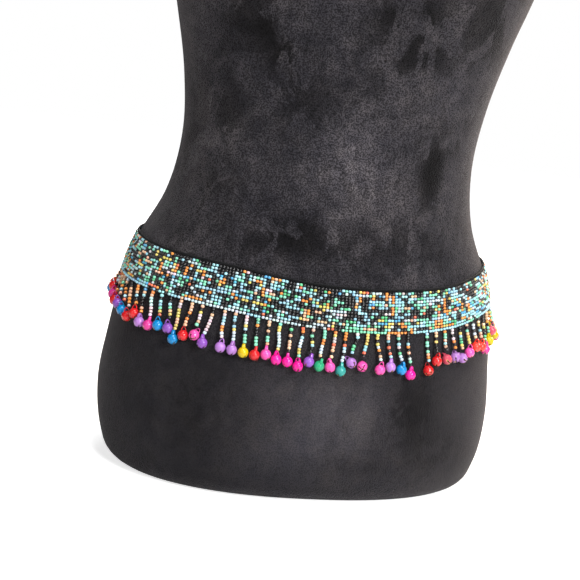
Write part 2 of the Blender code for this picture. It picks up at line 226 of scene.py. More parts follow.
# Camera, measured against the form's outline: turned and raised about a target on the form's axis
CAMERA_TURN = -13.95
CAMERA_RISE = 10.35
CAMERA_ROLL = 7.54
CAMERA_DISTANCE = 892.0
CAMERA_TARGET = (0.0, 0.0, 200.0)
CAMERA_ASIDE = -22.7
CAMERA_LIFT = -48.45
SENSOR_WIDTH = 36.0
FOCAL_SHARE = 1052.5 / 580  # focal length over the picture's width

# Soft boxes: how far each stands to the right of the form's front and up, in degrees, its size in
# metres, its power in watts, and the share of blue that it lacks
LIGHTS = {
    "key": (20.0, 25.0, 0.5, 24.0, 0.0), "left": (-45.0, 25.0, 0.8, 3.3, 0.0),
    "rim": (125.0, 25.0, 0.8, 30.0, 0.35), "top": (0.0, 70.0, 0.5, 16.0, 0.0),
    "back": (166.0, 30.0, 1.0, 18.0, 0.0)}
LIGHT_DISTANCE = 1.5  # metres from the point that they look at
LIGHT_TARGET = (0.0, 0.0, 0.2)
AMBIENT = 0.09  # the white backdrop's light on the form, as a share of its brightness
MIRRORED = 0.02  # and as glossy things mirror it
FLOOR_REACH = 6.0
FLOOR_RANGE = (0.25, 0.8)  # metres from the axis over which the floor brightens
FLOOR_GLOW = (0.7, 1.0)  # its brightness at those places

RNG = np.random.default_rng(7)


# The form's skin and the belt laid on it

def smooth_curve(places, sizes, at):
    """A size between its rows: a cubic through them, with slopes taken from the neighbouring rows."""
    slopes = np.gradient(sizes, places)
    below = np.clip(np.searchsorted(places, at, side="right") - 1, 0, len(places) - 2)
    step = places[below + 1] - places[below]
    t = (at - places[below]) / step
    return (sizes[below] * (1 + 2 * t) * (1 - t) ** 2 + slopes[below] * step * t * (1 - t) ** 2
            + sizes[below + 1] * t * t * (3 - 2 * t) + slopes[below + 1] * step * t * t * (t - 1))


def level_size(column, height):
    """One size of the form at a height."""
    return smooth_curve(FORM_LEVELS["height"], FORM_LEVELS[column], height)


def form_skin(turn, height, out=0.0):
    """Points off the form: (|x|/a)^n + (|y|/b)^n = 1 at each height, moved out along its normal.

    turn is in radians: 0 at the wearer's left, pi/2 at the back, pi at the right, 3 pi/2 at the front.
    """
    turn, height, out = np.broadcast_arrays(turn, height, out)
    across, along = np.cos(turn), np.sin(turn)
    width = level_size("half_width", height)
    depth = np.where(along > 0, level_size("back", height), level_size("front", height))
    x = width * np.sign(across) * np.abs(across) ** (2 / SQUARENESS)
    y = depth * np.sign(along) * np.abs(along) ** (2 / SQUARENESS)
    normal_x = np.sign(x) * np.abs(x / width) ** (SQUARENESS - 1) / width
    normal_y = np.sign(y) * np.abs(y / depth) ** (SQUARENESS - 1) / depth
    size = np.hypot(normal_x, normal_y)
    return np.stack([x + out * normal_x / size, y + out * normal_y / size, height], axis=-1)


def top_edge(turn):
    """Height of the band's top edge at a turn, in radians, with the rows of BELT_LINE repeated all round."""
    places = np.concatenate([BELT_LINE["turn"] + round_trip for round_trip in (-360, 0, 360)])
    return smooth_curve(places, np.tile(BELT_LINE["height"], 3), np.degrees(turn) % 360)


def path_run(path):
    """The length of a path up to each of its points."""
    return np.append(0.0, np.cumsum(np.linalg.norm(np.diff(path, axis=0), axis=1)))


BAND_HEIGHT = BAND_ROWS * ROW_PITCH
TURNS = np.linspace(math.pi / 2, 5 * math.pi / 2, GIRTH_STEPS + 1)
GIRTH_LINE = form_skin(TURNS, top_edge(TURNS) - BAND_HEIGHT / 2, MID_OUT)
GIRTH_RUN = path_run(GIRTH_LINE)
GIRTH = GIRTH_RUN[-1]
COLUMN_PITCH = (GIRTH - BACK_GAP) / BAND_COLUMNS
STRAND_PITCH = COLUMN_PITCH * COLUMNS_PER_STRAND
PLACES = np.arange(BAND_COLUMNS // COLUMNS_PER_STRAND)


def on_belt(distance, drop, out):
    """Points on the belt: a distance along it, a drop below its top edge, and a stand-off from the skin."""
    turn = np.interp(np.mod(distance, GIRTH), GIRTH_RUN, TURNS)
    return form_skin(turn, top_edge(turn) - drop, out)


def strand_beads():
    """Beads on the strand at each place: from the chart, or 8 to 10 in an uneven order beyond it."""
    beads = PLAIN_STRAND + (PLACES * 5 % 7) % 3
    for place, digit in enumerate(BEAD_CHART, start=CHART_START):
        beads[place] = int(digit, 16)
    return beads


def strand_sways(beads):
    """How far each bell hangs to the side of its root, once the bells have pushed each other apart.

    Each pair of neighbours that is closer than a bell, measured along the slant between them, moves
    apart by half of what it lacks, many times over.
    """
    sways = SWAY_JITTER * np.sin(SWAY_WAVE * PLACES)
    for first, last, start, end in SWAY_RUNS:
        sways[first:last + 1] += np.linspace(start, end, last + 1 - first)
    kept = np.flatnonzero(beads)
    roots = kept * STRAND_PITCH
    bells = roots + sways[kept]
    below = np.diff(beads[kept]) * ROW_PITCH
    least = np.sqrt(np.maximum(BELL_SPACE ** 2 - below ** 2, STRAND_SPACE ** 2))
    for _ in range(PUSH_ROUNDS):
        push = np.maximum(least - np.diff(bells), 0) / 2
        bells[:-1] -= push
        bells[1:] += push
    sways[kept] = bells - roots
    return sways


STRAND_BEADS = strand_beads()
STRAND_SWAYS = strand_sways(STRAND_BEADS)
HUNG = np.flatnonzero(STRAND_BEADS)
STRAND_ROOTS = BACK_GAP / 2 + (PLACES + 0.5) * STRAND_PITCH
STRAND_BENDS = RNG.normal(0.0, STRAND_BEND, len(PLACES))


def on_strand(place, t):
    """Points on strands: t runs from 0 at the band's lower edge to 1 at the last bead, and past it.

    A strand moves off the skin as t squared, because the bell holds it away, and its sway grows the
    same way.  A small bend, one wave of a sine long, keeps it from hanging quite straight.
    """
    bend = STRAND_BENDS[place] * np.sin(2 * math.pi * np.clip(t, 0, 1))
    out = MID_OUT + (BELL_STANDOFF - MID_OUT) * np.minimum(t, 1) ** 2
    drop = BAND_HEIGHT + STRAND_BEADS[place] * ROW_PITCH * t
    return on_belt(STRAND_ROOTS[place] + STRAND_SWAYS[place] * np.minimum(t, 1) ** 2 + bend, drop, out)


# Meshes as whole arrays: a shape is its points and a list of groups of faces

def unit(vectors):
    return vectors / np.linalg.norm(vectors, axis=-1, keepdims=True)


def circle(sides):
    """Angles all round, one for each side."""
    return np.linspace(0, 2 * math.pi, sides, endpoint=False)


def grid_corners(rows, columns, closed):
    """Row and column of each face's corners in a grid whose rows are rings, counted on past their end.

    closed joins the last ring to the first.
    """
    row, column = np.indices((rows - (not closed), columns))
    return row.reshape(-1, 1) + [0, 0, 1, 1], column.reshape(-1, 1) + [0, 1, 1, 0]


def grid_faces(rows, columns, closed=False):
    """Four-sided faces of such a grid, its points numbered row by row."""
    row, column = grid_corners(rows, columns, closed)
    return row % rows * columns + column % columns


def outward(points, groups):
    """The same faces, turned round if the shape that they close counts a negative volume."""
    volume = 0.0
    for faces in groups:
        for k in range(1, faces.shape[1] - 1):
            sides = np.cross(points[faces[:, k]], points[faces[:, k + 1]])
            volume += np.einsum("ij,ij->", points[faces[:, 0]], sides)
    return groups if volume > 0 else [faces[:, ::-1] for faces in groups]


def lofted(rings, closed=False):
    """A shape through rings of points, one row a ring; unless they close, the first and last get a face."""
    steps, sides = rings.shape[:2]
    groups = [grid_faces(steps, sides, closed)]
    if not closed:
        first = np.arange(sides)[None]
        groups += [first[:, ::-1], first + (steps - 1) * sides]
    points = rings.reshape(-1, 3)
    return points, outward(points, groups)


def stacked(*coordinates):
    """Points from their coordinates, which are spread to one shape."""
    return np.stack(np.broadcast_arrays(*coordinates), axis=-1)


def on_ball(polar, turn):
    """Points of a ball of radius 1: polar is the angle from the top and turn the one round it."""
    return stacked(np.sin(polar) * np.cos(turn), np.sin(polar) * np.sin(turn), np.cos(polar))


def joined(*shapes):
    """Several shapes as one, each one's faces numbered on from the last."""
    starts = np.cumsum([0] + [len(points) for points, _ in shapes])
    groups = [faces + start for (_, own), start in zip(shapes, starts) for faces in own]
    return np.concatenate([points for points, _ in shapes]), groups


def repeated(shape, centres, frames):
    """Copies of a shape: each point is the copy's centre plus its three axes times the coordinates."""
    own, groups = shape
    points = centres[:, None] + np.einsum("pi,nij->npj", own, frames)
    shift = (np.arange(len(centres)) * len(own))[:, None, None]
    return points.reshape(-1, 3), [(faces[None] + shift).reshape(-1, faces.shape[1]) for faces in groups]


def tube(path, facing, radius, sides, closed=False):
    """A cord: a ring about each point of a path, square to it, at radius from it.

    facing is a direction off the path that the rings start from.  radius may be an array with a row
    for each point and a column for each side.  An open cord's ends are closed with a face each.
    """
    ahead = np.roll(path, -1, axis=0) - np.roll(path, 1, axis=0)
    if not closed:
        ahead[0], ahead[-1] = path[1] - path[0], path[-1] - path[-2]
    ahead = unit(ahead)
    facing = unit(facing - np.einsum("ij,ij->i", facing, ahead)[:, None] * ahead)
    beside = np.cross(ahead, facing)
    angles = circle(sides)[:, None]
    ring = np.cos(angles) * facing[:, None] + np.sin(angles) * beside[:, None]
    return lofted(path[:, None] + np.broadcast_to(radius, (len(path), sides))[..., None] * ring, closed)


def twisted_radius(path, sides, radius, plies, lay, depth):
    """The radius of a cord that dips by depth between its plies, which wind once in each lay."""
    phase = plies / 2 * (circle(sides) - 2 * math.pi * path_run(path)[:, None] / lay)
    return radius * (1 - depth * (1 - np.abs(np.cos(phase))))


def tube_map(path, sides, closed=False):
    """A cord's UV map: metres along it, and the share of a turn round it, at each corner of its faces."""
    run = path_run(np.vstack([path, path[:1]])) * MM
    row, column = grid_corners(len(path), sides, closed)
    return stacked(run[row], column / sides).reshape(-1, 2)


def threads_along(paths, facings, radius, sides):
    """Several threads as one shape and its UV map, with the faces at their ends after all the others."""
    points, groups = joined(*(tube(path, facing, radius, sides) for path, facing in zip(paths, facings)))
    order = groups[0::3] + groups[1::3] + groups[2::3]
    return (points, order), np.concatenate([tube_map(path, sides) for path in paths])


def srgb(colour):
    """A colour given from 0 to 255 as the eye sees it, as the amounts of light that Blender takes."""
    share = np.asarray(colour, float) / 255
    return np.where(share <= 0.04045, share / 12.92, ((share + 0.055) / 1.055) ** 2.4)


def new_object(name, data):
    """An object in the scene, made from its data."""
    item = bpy.data.objects.new(name, data)
    bpy.context.scene.collection.objects.link(item)
    return item


def new_piece(name, shape, material, replaced=(), given=None, uv=None):
    """Makes a piece from a shape, with the colours and numbers given for each point."""
    points, groups = shape
    corners = np.concatenate([faces.ravel() for faces in groups]).astype(np.int32)
    sizes = np.concatenate([np.full(len(faces), faces.shape[1], np.int32) for faces in groups])
    mesh = bpy.data.meshes.new(name)
    mesh.vertices.add(len(points))
    mesh.vertices.foreach_set("co", (points * MM).astype(np.float32).ravel())
    mesh.loops.add(len(corners))
    mesh.loops.foreach_set("vertex_index", corners)
    mesh.polygons.add(len(sizes))
    mesh.polygons.foreach_set("loop_start", np.cumsum(sizes, dtype=np.int32) - sizes)
    mesh.update(calc_edges=True)
    mesh.validate()
    mesh.shade_smooth()
    mesh.materials.append(material)
    for attribute, values in (given or {}).items():
        if values.ndim == 1:
            layer = mesh.attributes.new(attribute, "FLOAT", "POINT")
            layer.data.foreach_set("value", values.astype(np.float32))
        else:
            layer = mesh.color_attributes.new(attribute, "FLOAT_COLOR", "POINT")
            opaque = np.column_stack([values, np.ones(len(points))])
            layer.data.foreach_set("color", opaque.astype(np.float32).ravel())
    if uv is not None:
        places = np.zeros((len(corners), 2), np.float32)
        places[:len(uv)] = uv
        mesh.uv_layers.new(name="along_the_cord").uv.foreach_set("vector", places.ravel())
    item = new_object(name, mesh)
    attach(item, "root")
    if replaced:
        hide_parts(*replaced)
    return item


# Finishes

def fill(tree, node, inputs):
    """Gives a node's inputs their values, or links them to the output sockets given."""
    for name, value in inputs.items():
        if isinstance(value, bpy.types.NodeSocket):
            tree.links.new(value, node.inputs[name])
        else:
            node.inputs[name].default_value = value


def add_node(tree, kind, inputs=None, **settings):
    """A shader node of one kind, with its settings and inputs."""
    node = tree.nodes.new("ShaderNode" + kind)
    for name, value in settings.items():
        setattr(node, name, value)
    fill(tree, node, inputs or {})
    return node


def math_node(tree, operation, *values, **settings):
    """What a Math node makes of its values, each a number or a socket."""
    node = add_node(tree, "Math", dict(enumerate(values)), operation=operation, **settings)
    return node.outputs[0]


def weighted_sum(tree, total, *terms):
    """A start plus sockets, each times its weight."""
    for socket, weight in terms:
        total = math_node(tree, "MULTIPLY_ADD", socket, weight, total)
    return total


def ranged(tree, value, source=(0.0, 1.0), target=(0.0, 1.0), **settings):
    """A number that runs over the target as the value runs over the source."""
    ends = {"From Min": source[0], "From Max": source[1], "To Min": target[0], "To Max": target[1]}
    return add_node(tree, "MapRange", {"Value": value, **ends}, **settings).outputs["Result"]


def mixed_colour(tree, share, first, second, blend="MIX"):
    """A colour between two colours, each a fixed colour or a socket."""
    first, second = (colour if isinstance(colour, bpy.types.NodeSocket) else (*colour, 1.0)
                     for colour in (first, second))
    mix = add_node(tree, "Mix", {0: share, 6: first, 7: second}, data_type="RGBA", blend_type=blend)
    return mix.outputs[2]


def shaded(tree, colour, tone, least):
    """A colour, darkened to its least share where the tone is 0."""
    shade = mixed_colour(tree, tone, (least, least, least), (1.0, 1.0, 1.0))
    return mixed_colour(tree, 1.0, colour, shade, blend="MULTIPLY")


def bumped(tree, height, strength, depth):
    """A normal with relief from a height, its depth in metres."""
    inputs = {"Strength": strength, "Distance": depth, "Height": height}
    return add_node(tree, "Bump", inputs).outputs["Normal"]


def from_points(tree, name):
    """The outputs of what was given for each point of a mesh."""
    return add_node(tree, "Attribute", attribute_name=name).outputs


def placed(tree, group, **values):
    """The output of a node group set in a material, with its own values."""
    return add_node(tree, "Group", values, node_tree=group).outputs[0]


def new_group(name, inputs, output):
    """An empty shader node group of number sockets: its tree, what it is given, and its result node."""
    tree = bpy.data.node_groups.new(name, "ShaderNodeTree")
    for socket, value in inputs.items():
        tree.interface.new_socket(socket, in_out="INPUT", socket_type="NodeSocketFloat").default_value = value
    tree.interface.new_socket(output, in_out="OUTPUT", socket_type="NodeSocketFloat")
    return tree, tree.nodes.new("NodeGroupInput").outputs, tree.nodes.new("NodeGroupOutput")


def mottle_group():
    """Uneven tone on Object coordinates: a coarse and a finer noise, mixed, and spread from 0 to 1."""
    tree, given, result = new_group("mottle", {"Scale": 40.0, "Fineness": 0.4, "Contrast": 1.0}, "Tone")
    place = add_node(tree, "TexCoord").outputs["Object"]
    finer = math_node(tree, "MULTIPLY", given["Scale"], 6.0)
    coarse = add_node(tree, "TexNoise", {"Vector": place, "Scale": given["Scale"], "Detail": 3.0})
    fine = add_node(tree, "TexNoise", {"Vector": place, "Scale": finer, "Detail": 2.0})
    shares = {"Factor": given["Fineness"], "A": coarse.outputs["Fac"], "B": fine.outputs["Fac"]}
    mix = add_node(tree, "Mix", shares, data_type="FLOAT").outputs["Result"]
    spread = math_node(tree, "MULTIPLY", math_node(tree, "SUBTRACT", mix, 0.5), 3.0)
    contrast = math_node(tree, "MULTIPLY", spread, given["Contrast"])
    fill(tree, result, {"Tone": math_node(tree, "ADD", contrast, 0.5, use_clamp=True)})
    return tree


def twist_group():
    """Fibres that wind round a cord, from its UV map: a sine of turns round it plus turns along it."""
    tree, given, result = new_group("twist", {"Fibres": 12.0, "Lay": 0.004}, "Height")
    place = add_node(tree, "UVMap", uv_map="along_the_cord").outputs["UV"]
    parts = add_node(tree, "SeparateXYZ", {0: place}).outputs
    turned = math_node(tree, "SUBTRACT", parts["Y"], math_node(tree, "DIVIDE", parts["X"], given["Lay"]))
    phase = math_node(tree, "MULTIPLY", math_node(tree, "MULTIPLY", turned, given["Fibres"]), 2 * math.pi)
    fill(tree, result, {"Height": math_node(tree, "SINE", phase)})
    return tree


def crush_group():
    """Marks where the nap is pressed down: a distorted noise on Object coordinates, cut off at a level.

    Slant stretches the marks upward.  Mask is 1 in a mark, 0 outside it, with an edge Softness wide.
    """
    tree, given, result = new_group(
        "crush", {"Scale": 20.0, "Slant": 0.6, "Level": 0.58, "Softness": 0.06, "Offset": 0.0}, "Mask")
    place = add_node(tree, "TexCoord").outputs["Object"]
    stretch = add_node(tree, "CombineXYZ", {"X": 1.0, "Y": 1.0, "Z": given["Slant"]})
    for operation, other in (("MULTIPLY", stretch.outputs[0]), ("ADD", given["Offset"])):
        place = add_node(tree, "VectorMath", {0: place, 1: other}, operation=operation).outputs[0]
    noise = add_node(tree, "TexNoise", {
        "Vector": place, "Scale": given["Scale"], "Detail": 6.0, "Roughness": 0.62, "Distortion": 0.8})
    top = math_node(tree, "ADD", given["Level"], given["Softness"])
    mask = ranged(tree, noise.outputs["Fac"], (given["Level"], top), interpolation_type="SMOOTHSTEP")
    fill(tree, result, {"Mask": mask})
    return tree


def new_material(name):
    """A material, its tree and its Principled BSDF."""
    material = bpy.data.materials.new(name)
    material.use_nodes = True
    return material, material.node_tree, material.node_tree.nodes["Principled BSDF"]


def velvet_finish(mottle, crush):
    """Charcoal velvet, its colour times two to the power of its tone.

    The tone adds up the patches, which are nap and on the front also painted light, clouds round them,
    streaks brushed upward, crushed dents and flecks, and the grain of the pile.  The dark patches break up
    into crisp marks.  All but the patches fade where the pile has been brushed smooth.
    """
    material, tree, shader = new_material("velvet")
    light, dark, rough = (from_points(tree, name)["Fac"] for name in ("nap_and_painted_light", "nap_dark", "rough"))
    clouds = placed(tree, mottle, Scale=14.0, Fineness=0.45, Contrast=1.2)
    streaks = placed(tree, crush, Scale=60.0, Slant=0.16, Level=0.42, Softness=0.24, Offset=3.0)
    dents = placed(tree, crush, Scale=15.0, Slant=0.75, Level=0.56, Softness=0.07, Offset=0.0)
    flecks = placed(tree, crush, Scale=55.0, Slant=0.6, Level=0.58, Softness=0.06, Offset=7.0)
    marks = placed(tree, crush, Scale=38.0, Slant=0.7, Level=0.47, Softness=0.05, Offset=11.0)
    grain = placed(tree, mottle, Scale=1000.0, Fineness=0.1, Contrast=2.4)
    uneven = weighted_sum(
        tree, -1.15, (clouds, 1.5), (streaks, -0.35), (dents, -0.65), (flecks, -0.6), (grain, 1.9))
    broken = math_node(tree, "MULTIPLY", weighted_sum(tree, -0.85, (marks, 1.9)), rough)
    pressed = math_node(tree, "MULTIPLY", math_node(tree, "ADD", broken, 1.0), dark)
    faded = math_node(tree, "MULTIPLY", uneven, rough)
    # The light tone brings in the patches' painted light on the front as well as the lighter nap.
    tone = weighted_sum(tree, 0.05, (light, 1.0), (pressed, -1.0), (faded, 1.0))
    tint = mixed_colour(tree, clouds, VELVET_DARK, VELVET_LIGHT)
    lit = {0: tint, "Scale": math_node(tree, "POWER", 2.0, tone)}
    fill(tree, shader, {
        "Base Color": add_node(tree, "VectorMath", lit, operation="SCALE").outputs[0],
        "Normal": bumped(tree, grain, 0.6, 0.0005),
        "Roughness": 0.95, "Specular IOR Level": 0.1, "Sheen Weight": 0.17, "Sheen Roughness": 0.4,
        "Sheen Tint": (0.90, 0.85, 0.88, 1.0)})
    return material


def glass_finish(name, mottle):
    """Opaque glass seed beads, each in its points' colour, with a brighter lustre on the black ones."""
    material, tree, shader = new_material(name)
    glass = from_points(tree, "glass")
    tone = placed(tree, mottle, Scale=260.0, Fineness=0.3, Contrast=1.0)
    fill(tree, shader, {
        "Base Color": shaded(tree, glass["Color"], tone, 0.82),
        "Coat Weight": ranged(tree, glass["Fac"], (0.02, 0.06), (0.45, 0.06)),
        "Roughness": ranged(tree, tone, target=(0.06, 0.20)),
        "Coat Roughness": 0.03, "Coat IOR": 2.0, "IOR": 1.5})
    return material


def bell_finish(mottle):
    """Enamel paint on brass: glossy and a little uneven, chipped to the brass along the slots' edges."""
    material, tree, shader = new_material("bell_paint")
    tone = placed(tree, mottle, Scale=330.0, Fineness=0.4, Contrast=1.3)
    chips = math_node(tree, "MULTIPLY", from_points(tree, "edge")["Fac"], tone)
    bare = ranged(tree, chips, (0.42, 0.5))
    coat = shaded(tree, from_points(tree, "paint")["Color"], tone, 0.86)
    fill(tree, shader, {
        "Base Color": mixed_colour(tree, bare, coat, srgb(BRASS)), "Metallic": bare,
        "Roughness": ranged(tree, tone, target=(0.16, 0.30)), "Normal": bumped(tree, tone, 0.12, 0.0002),
        "Coat Weight": 0.5, "Coat Roughness": 0.16, "Specular IOR Level": 0.3, "IOR": 1.5})
    return material


def cord_finish(name, colour, mottle, twist, fibres, lay):
    """Twisted cord or thread: fine fibres that wind along it, with a faint fuzz."""
    material, tree, shader = new_material(name)
    tone = placed(tree, mottle, Scale=500.0, Fineness=0.5, Contrast=1.0)
    wound = placed(tree, twist, Fibres=fibres, Lay=lay)
    fill(tree, shader, {
        "Base Color": mixed_colour(tree, tone, srgb(colour), 2.2 * srgb(colour)),
        "Roughness": ranged(tree, tone, target=(0.55, 0.8)), "Normal": bumped(tree, wound, 0.6, 0.00012),
        "Specular IOR Level": 0.2, "Sheen Weight": 0.02, "Sheen Roughness": 0.5})
    return material


def black_glass_finish(mottle):
    """Black pressed glass, polished, with faint handling marks."""
    material, tree, shader = new_material("black_glass")
    tone = placed(tree, mottle, Scale=200.0, Fineness=0.6, Contrast=1.0)
    fill(tree, shader, {
        "Base Color": mixed_colour(tree, tone, srgb((10, 10, 12)), srgb((24, 24, 28))),
        "Roughness": ranged(tree, tone, target=(0.08, 0.24)),
        "Coat Weight": 0.6, "Coat Roughness": 0.04, "IOR": 1.52})
    return material


# The form

def nap_and_light_tones(turn, height):
    """How light and how dark the velvet is round the form, in powers of two, painted light included.

    Each row of NAP_AND_LIGHT_PATCHES adds a bell curve to the light tones or to the dark ones.
    """
    across = (np.degrees(turn)[..., None] - NAP_AND_LIGHT_PATCHES["turn"] + 180) % 360 - 180
    up = height[..., None] - NAP_AND_LIGHT_PATCHES["height"]
    spread = (across / NAP_AND_LIGHT_PATCHES["half_turn"]) ** 2 + (up / NAP_AND_LIGHT_PATCHES["half_height"]) ** 2
    return [(np.maximum(sign * NAP_AND_LIGHT_PATCHES["tone"], 0) * np.exp(-spread)).sum(axis=-1) for sign in (1, -1)]


def make_form(material):
    """The dress form: the skin's rings from the base's rounded edge to the neck's, with flat ends.

    Each ring is the skin at a height, drawn in by a quarter circle near the two ends, and the flat
    ends are rings shrunk towards the axis.
    """
    top = FORM_LEVELS["height"][-1]
    arc = np.radians(np.linspace(0, 90, 7))
    middle = np.linspace(BASE_ROUND, top - NECK_ROUND, FORM_RINGS)[1:-1]
    heights = np.concatenate([BASE_ROUND * (1 - np.cos(arc)), middle, top - NECK_ROUND * (1 - np.sin(arc))])
    insets = np.concatenate([-BASE_ROUND * (1 - np.sin(arc)), 0 * middle, -NECK_ROUND * (1 - np.cos(arc))])
    turns = circle(FORM_SIDES)
    skin = form_skin(turns[None], heights[:, None], insets[:, None])
    shrink = np.array(END_RINGS)[:, None, None]
    upright = np.array([0.0, 0.0, 1.0])
    under = skin[0] * (shrink * FLAT) + skin[0] * upright
    over = skin[-1] * (shrink[::-1] * FLAT) + skin[-1] * upright
    rings = np.concatenate([under, skin, over])
    # light holds the lighter nap and, on the front, painted light
    light, dark = nap_and_light_tones(np.broadcast_to(turns, rings.shape[:2]), rings[..., 2])
    rough = np.interp(rings[..., 2], *BRUSHED)
    new_piece("velvet_form", lofted(rings), material, ["dress_form"],
              {"nap_and_painted_light": light.ravel(), "nap_dark": dark.ravel(), "rough": rough.ravel()})


# The band

def bead_shape():
    """A seed bead about its hole: its profile carried round, with the hole's wall as the last stretch."""
    turns = circle(BEAD_SIDES)
    radius, rise = BEAD_PROFILE.T[..., None]
    return lofted(stacked(radius * np.cos(turns), radius * np.sin(turns), rise), closed=True)


def bead_frames(up, off, sizes):
    """Axes of beads whose holes follow up, a little askew and turned at random about their holes."""
    up = unit(unit(up) + RNG.normal(0, BEAD_LEAN, up.shape))
    side = unit(np.cross(up, off))
    front = np.cross(side, up)
    turn = RNG.uniform(0, 2 * math.pi, (len(up), 1))
    x = np.cos(turn) * front + np.sin(turn) * side
    return np.stack([x, np.cross(up, x), up], axis=1) * sizes[:, None, None]


def glass_colours(picks, shape_points):
    """The colour of each point of beads that were given a glass by number; -1 is black.

    Each bead's colour is its glass's, a little lighter or darker and shifted in hue at random.
    """
    table = srgb(np.vstack([GLASS_TABLE[:, 1:], BLACK_GLASS]))
    tint = RNG.normal(1.0, TONE_SPREAD, (len(picks), 1)) * RNG.normal(1.0, HUE_SPREAD, (len(picks), 3))
    return np.repeat(np.clip(table[picks] * tint, 0.001, 0.9), shape_points, axis=0)


def pick_runs(rows, columns, break_share, shares):
    """Glass for each bead of a grid: runs along the rows, each run a glass drawn by its share."""
    starts = RNG.random((rows, columns)) < break_share
    run = np.cumsum(starts, axis=1) + np.arange(rows)[:, None] * (columns + 1)
    drawn = RNG.choice(len(GLASS), size=run.max() + 1, p=np.array(shares) / np.sum(shares))
    return drawn[run]


def band_glass():
    """The band's random mix: short runs of colour with black beads strewn among them.

    The lowest row has long runs, more of the common glass and few black beads.  Here and there a short
    column is orange.
    """
    shares = GLASS_TABLE[:, 0]
    picks = pick_runs(BAND_ROWS, BAND_COLUMNS, RUN_BREAKS, shares)
    picks[-1] = pick_runs(1, BAND_COLUMNS, LOWEST_ROW_BREAKS, shares ** 1.5)[0]
    black = RNG.random(picks.shape)
    black[:, 1:] = (1 - BLACK_CARRY) * black[:, 1:] + BLACK_CARRY * black[:, :-1]
    rank = np.argsort(np.argsort(black, axis=None)).reshape(black.shape) / black.size
    share = np.interp(np.arange(BAND_COLUMNS), *BLACK_SHARE) + np.array(BLACK_ROWS)[:, None]
    picks[rank < share] = -1
    starts = RNG.integers(0, [BAND_ROWS - 3, BAND_COLUMNS], (ORANGE_COLUMNS, 2))
    for row, column in starts:
        picks[row:row + RNG.integers(2, 4), column] = list(GLASS).index("orange")
    return picks


def make_band(material):
    """The band: one bead for each row and column, its hole upright, in four lengths.

    Beads sit out of line at random, and rows and columns stray as sums of slow waves.
    """
    column, row = np.meshgrid(np.arange(BAND_COLUMNS), np.arange(BAND_ROWS))
    shift = RNG.normal(0, BEAD_SHIFT, (3, BAND_ROWS, BAND_COLUMNS))
    wander = np.sin(column / 7.3 + 1.7 * np.sin(row / 3.1)) + np.sin(column / 17.9 + row / 2.3)
    lean = np.sin(row / 2.7 + 2.1 * np.sin(column / 11.3)) + np.sin(row / 5.1 - column / 5.9)
    place = BACK_GAP / 2 + (column + 0.5) * COLUMN_PITCH + shift[0] + ROW_WANDER / 2 * lean
    drop = (row + 0.5) * ROW_PITCH + DROP_SHARE * shift[1] + ROW_WANDER / 2 * wander
    out = MID_OUT + shift[2]
    centres = on_belt(place, drop, out)
    up = on_belt(place, drop - 1, out) - on_belt(place, drop + 1, out)
    off = on_belt(place, drop, out + 1) - centres
    sizes = RNG.normal(BAND_SIZE, BAND_SPREAD, row.shape)
    picks = band_glass()
    sizes = np.where(picks < 0, sizes * BLACK_SIZE, sizes)
    shape = bead_shape()
    names = ("back_right", "front_right", "front_left", "back_left")
    for name, columns in zip(names, np.array_split(np.arange(BAND_COLUMNS), len(names))):
        at, upward, outgoing = (grid[:, columns].reshape(-1, 3) for grid in (centres, up, off))
        beads = repeated(shape, at, bead_frames(upward, outgoing, sizes[:, columns].ravel()))
        colours = glass_colours(picks[:, columns].ravel(), len(shape[0]))
        new_piece(f"band_beads_{name}", beads, material, ["bead_band"], {"glass": colours})


def make_ground(material):
    """The web of threads that the band is loomed on: a thin sheet through the middle of the beads.

    Its half thickness is a thread's between the rows of beads, and thins to a quarter at each row's
    middle, where only the upright threads in the holes run.
    """
    drop = np.linspace(GROUND_INSET, BAND_HEIGHT - GROUND_INSET, 4 * BAND_ROWS + 1)
    half = GROUND_HALF * (0.25 + 0.75 * np.abs(np.cos(math.pi * drop / ROW_PITCH)) ** 3)
    end = BACK_GAP / 2 + GROUND_END
    place = np.linspace(end, GIRTH - end, BAND_COLUMNS + 1)
    drops = np.concatenate([drop, drop[::-1]])
    outs = MID_OUT + np.concatenate([half, -half[::-1]])
    rings = on_belt(place[:, None], drops[None], outs[None])
    ground = new_piece("thread_ground", lofted(rings), material, ["bead_band"],
                       uv=tube_map(rings[:, 0], len(drops)))


def make_edge_cord(material):
    """The black cord that lies along the band's top edge: three plies, twisted, with its ends drawn in."""
    sides = 12
    place = np.linspace(BACK_GAP / 2, GIRTH - BACK_GAP / 2, EDGE_CORD_STEPS)
    drop = -SEAM - CORD_RADIUS
    path = on_belt(place, drop, MID_OUT)
    radius = twisted_radius(path, sides, CORD_RADIUS, plies=3, lay=4.2, depth=0.22)
    radius[[0, -1]] *= 0.7
    cord = tube(path, on_belt(place, drop, MID_OUT + 1) - path, radius, sides)
    new_piece("edge_cord_twisted", cord, material, ["edge_cord"], uv=tube_map(path, sides))


# The fringe

def strand_glass():
    """Glass for each bead of each strand: runs of one to three, one bead in four black."""
    picks = pick_runs(len(PLACES), STRAND_BEADS.max(), STRAND_BREAKS, STRAND_SHARES)
    picks[RNG.random(picks.shape) < STRAND_BLACK] = -1
    return picks


